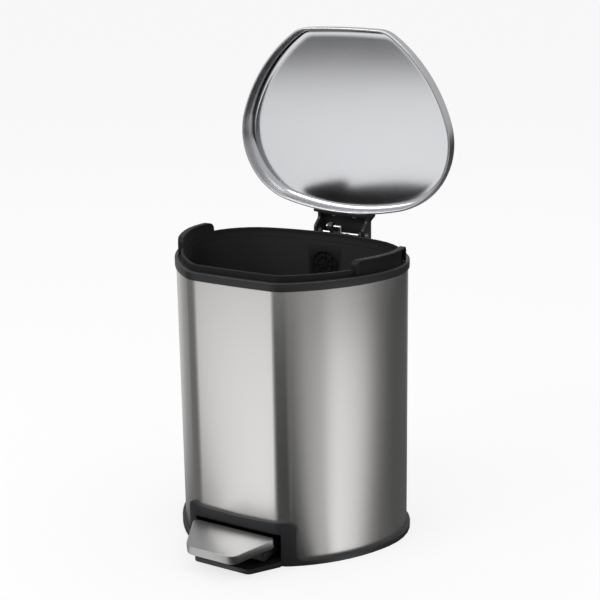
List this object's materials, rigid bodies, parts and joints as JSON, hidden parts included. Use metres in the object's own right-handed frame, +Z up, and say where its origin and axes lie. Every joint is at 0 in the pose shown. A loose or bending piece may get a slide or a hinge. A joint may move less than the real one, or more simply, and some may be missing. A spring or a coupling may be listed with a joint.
{
  "type": "pedal trash can",
  "caption": "Foot pedal trash can with a brushed steel body, moulded base and rim, lift-out inner bucket and a hinged steel lid opened by a rod from the pedal.",
  "frame": {"origin": "on the floor, in the middle of the body's footprint from front to rear and from side to side", "axes": "+Z up, -Y out of the front where the pedal is, +X to the right when looking from the front towards the rear"},
  "size_m": [0.2494, 0.2851, 0.4975],
  "materials": {
    "brushed_steel": "fine vertical brushing",
    "lid_steel": "satin brushed, bright rolled hem",
    "pedal_steel": "satin brushed",
    "black_plastic": "fine moulded grain",
    "bucket_plastic": "smooth moulded",
    "grey_plastic": "smooth moulded",
    "rod_steel": "bright zinc plated",
    "fastener_steel": "zinc plated",
    "black_rubber": "matt"
  },
  "bodies": {
    "base": {"body_shell": "brushed_steel", "top_ring": "black_plastic", "base_housing": "black_plastic", "base_plate": "grey_plastic", "base_pads": "black_rubber", "base_screws": "fastener_steel", "lever_bracket": "grey_plastic", "lever_bracket_screws": "fastener_steel", "lever_pin": "rod_steel", "lever_pin_clips": "fastener_steel", "pedal_buffer": "black_rubber", "rod_guides": "grey_plastic", "hinge_housing": "black_plastic", "housing_screws": "fastener_steel", "hinge_pin": "rod_steel", "hinge_pin_clips": "fastener_steel"},
    "pedal": {"pedal_lever": "black_plastic", "pedal_cap": "pedal_steel", "pedal_screws": "fastener_steel"},
    "rod": {"push_rod": "rod_steel", "rod_clips": "fastener_steel"},
    "lid": {"lid_pan": "lid_steel", "hinge_bracket": "black_plastic", "bracket_rivets": "fastener_steel"},
    "bucket": {"inner_bucket": "bucket_plastic"}
  },
  "joints": [
    {"name": "lid_hinge", "type": "hinge", "parent": "base", "child": "lid", "pos_m": [0, 0.118, 0.2825], "axis": [-1, 0, 0], "range_deg": [-90, 0]},
    {"name": "pedal_press", "type": "hinge", "parent": "base", "child": "pedal", "pos_m": [0, -0.03, 0.02], "axis": [1, 0, 0], "range_deg": [-8.82, 0]},
    {"name": "rod_slide", "type": "slide", "parent": "base", "child": "rod", "axis": [0, 0, 1], "range_m": [-0.0181, 0]},
    {"name": "bucket_lift", "type": "slide", "parent": "base", "child": "bucket", "axis": [0, 0, 1], "range_m": [0, 0.27]}
  ],
  "couplings": [
    {"joint": "pedal_press", "follows": "lid_hinge", "ratio": 0.097492},
    {"joint": "rod_slide", "follows": "lid_hinge", "m_per_rad": 0.011459}
  ]
}
